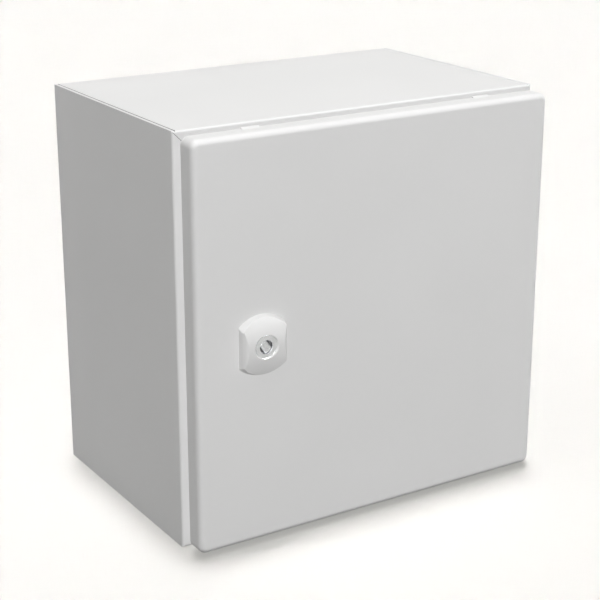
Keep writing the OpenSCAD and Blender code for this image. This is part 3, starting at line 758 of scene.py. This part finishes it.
def makeSeal(settings):
    low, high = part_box("lock_seal")
    centre = ((low + high) / 2).xz
    outerRadius = (high.x - low.x) / 2
    spots = []
    for angle in anglesRound(settings["around"]):
        spots.append((centre + settings["inner"] * outAt(angle), centre + outerRadius * outAt(angle)))
    flat = flatRing(spots, low.y, high.y, settings["bulge"])
    rings = [[(point.x, y, point.y) for point, y in ring] for ring in flat]
    addPiece("lockSealRing", meshOf(loft(rings), finishes["foam"]), "door", ["lock_seal"])


makeFlatFoam(glandFoamSet)
makeSeal(sealSet)
print("gaskets poured")

# Turned rim round the face of the lock insert, sloping inwards
rimSet = {
    "outer": 0.0084, "edge": 0.0001, "inner": 0.0079, "around": 72,
    "proud": 0.00025, "foot": 0.05, "sunk": 0.0003,  # foot is the share of proud at the inner edge
}


def makeRim(settings):
    centre, face = insertFace()
    outer, inner, rise, sunk = (settings[key] for key in ("outer", "inner", "proud", "sunk"))
    section = ((outer, -sunk), (outer, rise), (outer - settings["edge"], rise),
               (inner, settings["foot"] * rise), (inner, -sunk))
    rings = []
    for angle in anglesRound(settings["around"]):
        spots = [(centre + radius * outAt(angle), lift) for radius, lift in section]
        rings.append([(spot.x, face - lift, spot.y) for spot, lift in spots])
    addPiece("insertRim", meshOf(loft(rings), finishes["insert"], False), "lock")


makeRim(rimSet)

# Double bit in the key hole, with chamfered edges and a slightly dished face
bitSet = {
    "width": 0.0062, "radius": 0.0048, "angle": 124.0, "around": 96,
    "deep": 0.0033, "below": 0.0005, "chamfer": 0.0006,
    "dish": 0.0002, "dishInset": 2.2,  # the inset is in chamfers
}


def makeBit(settings):
    centre, face = insertFace()
    chamfer, below = settings["chamfer"], settings["below"]
    levels = ((0.0, settings["deep"]), (0.0, below + chamfer), (chamfer, below),
              (settings["dishInset"] * chamfer, below + settings["dish"]))
    rings = []
    for inset, depth in levels:
        ring = []
        for angle in anglesRound(settings["around"]):
            lean = abs(math.sin(angle - math.radians(settings["angle"])))
            half = settings["width"] / 2 - inset
            radius = min(settings["radius"] - inset, half / max(lean, tiny))
            spot = centre + radius * outAt(angle)
            ring.append((spot.x, face + depth, spot.y))
        rings.append(ring)
    work = loft(rings, closed=False, capped=True)
    addPiece("keyBit", meshOf(work, finishes["insert"], False), "lock")


makeBit(bitSet)
print("lock insert turned")

# Weld bead along the long inner corners of the shell
weldSet = {
    "inset": 0.0021, "radius": 0.0013, "spacing": 0.0016, "from": -0.003, "to": -0.1855,
    "least": (0.92, 0.92, 0.72), "most": (1.08, 1.08, 0.88), "subdivisions": 2, "seed": 11,
}


def makeWeldTree(finish, settings):
    tree, given = growTree("weldBead", {"Radius": "Float", "Spacing": "Float", "Seed": "Int"})
    line = tree.node("GeometryNodeMeshToCurve", None, {0: given["Points"]})
    walk = tree.node("GeometryNodeCurveToPoints", {"mode": "LENGTH"}, {
        "Curve": line, "Length": given["Spacing"]})
    drop = tree.node("GeometryNodeMeshIcoSphere", None, {
        "Radius": given["Radius"], "Subdivisions": settings["subdivisions"]})
    size = tree.node("FunctionNodeRandomValue", {"data_type": "FLOAT_VECTOR"}, {
        0: settings["least"], 1: settings["most"], "Seed": given["Seed"]})
    copies = tree.node("GeometryNodeInstanceOnPoints", None, {
        "Points": walk, "Instance": drop, "Rotation": walk.other("Rotation"), "Scale": size})
    return endTree(tree, copies, finish)


def makeWelds(settings):
    low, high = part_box("body_shell")
    inset = settings["inset"]
    points, edges = [], []
    for x in (low.x + inset, high.x - inset):
        for z in (low.z + inset, high.z - inset):
            edges.append((len(points), len(points) + 1))
            points += [(x, settings["from"], z), (x, settings["to"], z)]
    beads = grow(makeWeldTree(finishes["paint"], settings), points, edges, {
        "Radius": settings["radius"], "Spacing": settings["spacing"], "Seed": settings["seed"]})
    addPiece("cornerWelds", beads, "body")


makeWelds(weldSet)

# Strips in the seams, dark with painted shade on the left and paint-coloured on the right, filler in the
# flange mitres and a dark hairline of painted shade on one
seamStripSet = {
    "inset": 0.00275, "half": 0.00045, "sink": 0.0006, "show": 0.00008,
    "flange": -0.188, "rearGap": 0.0014, "frontGap": 0.0012,
}
mitreSet = {"from": 0.0010, "to": 0.0232, "half": 0.00045, "sink": 0.0006, "show": 0.00003}
hairlineShadeSet = {"half": 0.00015, "sink": 0.0002, "show": 0.00001}
stripSet = {"ease": 0.2, "crown": 0.7}


def stripOf(start, end, side, out, settings):  # a crowned strip that lies in a groove
    base, top = -settings["sink"], -settings["show"]
    low, crown = top - stripSet["ease"] * (top - base), stripSet["crown"]
    section = ((-1.0, base), (1.0, base), (1.0, low), (crown, top), (-crown, top), (-1.0, low))
    rings = [[point + side * settings["half"] * across + out * lift for across, lift in section]
             for point in (start, end)]
    return loft(rings, closed=False, capped=True)


def makeSeamStrips():
    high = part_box("body_shell")[1]
    flange = seamStripSet["flange"]
    dark, painted = [], []
    for signX in (-1, 1):
        for signZ in (-1, 1):
            edge = Vector((signX * high.x, 0.0, signZ * high.z))
            inner = edge - Vector((signX * seamStripSet["inset"], 0.0, 0.0))
            rear = inner - Vector((0.0, seamStripSet["rearGap"], 0.0))
            front = inner + Vector((0.0, flange + seamStripSet["frontGap"], 0.0))
            seam = stripOf(rear, front, Vector((1, 0, 0)), Vector((0, 0, signZ)), seamStripSet)
            # the left seams carry the dark painted shade, the right ones are paint-coloured
            (dark if signX < 0 else painted).append(seam)
            lean = Vector((-signX, 0.0, -signZ)).normalized()
            corner = Vector((edge.x, flange, edge.z))
            ends = [corner + lean * mitreSet[end] for end in ("from", "to")]
            side, out = Vector((lean.z, 0.0, -lean.x)), Vector((0, -1, 0))
            painted.append(stripOf(*ends, side, out, mitreSet))
            # a dark hairline of painted shade on the top-left mitre alone
            if signX < 0 < signZ:
                dark.append(stripOf(*ends, side, out, hairlineShadeSet))
    addPiece("seamSealant", meshOf(joinMeshes(dark), finishes["sealant"], False), "body")
    addPiece("mitreFiller", meshOf(joinMeshes(painted), finishes["paint"], False), "body")


makeSeamStrips()
print("welds and sealant laid")

# Pale floor, which shows one colour to the camera and gives back less light
floorSet = {
    "level": -0.150,
    "half": 9.0,
    "seenFront": (0.707, 0.703, 0.677, 1.0),  # the lit door adds to the floor in front of it
    "seenFar": (0.756, 0.752, 0.727, 1.0),
    "front": (0.107, 0.107, 0.107, 1.0),
    "near": (0.16, 0.16, 0.16, 1.0),
    "far": (0.27, 0.27, 0.27, 1.0),
    "apart": (0.35, 1.0),  # near goes over to far between these distances
    "frontAt": (0.05, -0.42, -0.15),
    "beside": (0.20, 0.60),  # front goes over to the rest between these distances from it
}
# Soft light. A lamp names only what differs from the fill, which casts no shadow and leaves the floor out
lightSet = {
    "sky": (1.0, 0.992, 0.960, 1.0),
    "skyStrength": 0.12,
    "seenStrength": 0.985,
    "aim": (0.0, -0.1, 0.0),
    "away": 2.0,
    "fill": {"spread": 28.0, "near": 0.0, "shadow": False, "floor": "EXCLUDE"},  # INCLUDE: the floor alone
    "lamps": {
        "topBox": {"strength": 1.34, "azimuth": 150.0, "elevation": 86.2, "spread": 7.2,
                   "shadow": True, "floor": "ALSO"},
        "rightBox": {"strength": 1.24, "azimuth": 33.0, "elevation": 28.0},
        "leftBox": {"strength": 1.31, "azimuth": -33.0, "elevation": 28.0},
        "sideBox": {"strength": 0.70, "azimuth": -65.0, "elevation": 25.0},
        "crownBox": {"strength": 0.52, "azimuth": -10.0, "elevation": 78.0},
        "nearBox": {"strength": 0.44, "azimuth": 5.0, "elevation": 48.0, "spread": 22.0, "near": 1.3},
        "rearBox": {"strength": 0.85, "azimuth": 180.0, "elevation": -2.0, "spread": 3.0},  # rear face
        "floorBox": {"strength": 0.95, "azimuth": 150.0, "elevation": 86.2, "spread": 7.2,
                     "shadow": True, "floor": "INCLUDE"},
        "floorFill": {"strength": 1.55, "azimuth": 0.0, "elevation": 80.0, "floor": "INCLUDE"},
    },
}


def rayMask(finish):  # 1 where the camera sees the surface, straight or by reflection
    rays = finish.node("ShaderNodeLightPath", out="Is Camera Ray")
    return rays + rays.other("Is Glossy Ray") + rays.other("Is Transmission Ray")


def makeFloor(settings):
    half = settings["half"]
    mesh = bpy.data.meshes.new("floor")
    corners = [(x * half, y * half, settings["level"]) for x, y in ((-1, -1), (1, -1), (1, 1), (-1, 1))]
    mesh.from_pydata(corners, [], [(0, 1, 2, 3)])
    matte = Finish("floorMatte")
    place = matte.place()
    away = matte.node("ShaderNodeVectorMath", {"operation": "LENGTH"}, {0: place}, out="Value")
    apart = matte.between(away, *settings["apart"])
    values = {0: place, 1: settings["frontAt"]}
    aside = matte.node("ShaderNodeVectorMath", {"operation": "DISTANCE"}, values, out="Value")
    beside = matte.between(aside, *settings["beside"])
    bounce = matte.blend(beside, settings["front"], matte.blend(apart, settings["near"], settings["far"]))
    seen = matte.blend(beside, settings["seenFront"], settings["seenFar"])
    colour = matte.blend(rayMask(matte), bounce, seen)
    mesh.materials.append(matte.end(Base_Color=colour, Roughness=1.0, Specular_IOR_Level=0.0))
    floor = bpy.data.objects.new("floor", mesh)
    scene.collection.objects.link(floor)
    return floor


def makeSky(settings):
    world = bpy.data.worlds.new("studio")
    world.use_nodes = True
    scene.world = world
    sky = Finish("studio", world.node_tree)
    strength = span(rayMask(sky), settings["skyStrength"], settings["seenStrength"])
    background = sky.node("ShaderNodeBackground", None, {"Color": settings["sky"], "Strength": strength})
    sky.node("ShaderNodeOutputWorld", None, {"Surface": background})


def linkLamp(lamp, floor, state):  # leaves the floor out of a lamp's light, or lights it alone
    chosen = bpy.data.collections.new(lamp.name + "Floor")
    chosen.objects.link(floor)
    chosen.collection_objects[0].light_linking.link_state = state
    lamp.light_linking.receiver_collection = chosen


def makeLamps(settings, floor):
    for name, own in settings["lamps"].items():
        lampSet = {**settings["fill"], **own}
        near = lampSet["near"]
        data = bpy.data.lights.new(name, "POINT" if near else "SUN")
        if near:  # a soft lamp close by, with the same light at the middle of the part
            data.energy = lampSet["strength"] * 4 * math.pi * near ** 2
            data.shadow_soft_size = near * math.tan(math.radians(lampSet["spread"] / 2))
        else:
            data.energy = lampSet["strength"]
            data.angle = math.radians(lampSet["spread"])
        data.use_shadow = lampSet["shadow"]
        turn, rise = math.radians(lampSet["azimuth"]), math.radians(lampSet["elevation"])
        toLamp = Vector((math.sin(turn) * math.cos(rise), -math.cos(turn) * math.cos(rise), math.sin(rise)))
        lamp = bpy.data.objects.new(name, data)
        lamp.rotation_mode = "QUATERNION"
        lamp.rotation_quaternion = toLamp.to_track_quat("Z", "Y")
        lamp.location = Vector(settings["aim"]) + (near or settings["away"]) * toLamp
        scene.collection.objects.link(lamp)
        if lampSet["floor"] != "ALSO":
            linkLamp(lamp, floor, lampSet["floor"])


makeSky(lightSet)
makeLamps(lightSet, makeFloor(floorSet))
scene.view_settings.view_transform = "Standard"
print("floor and light set")
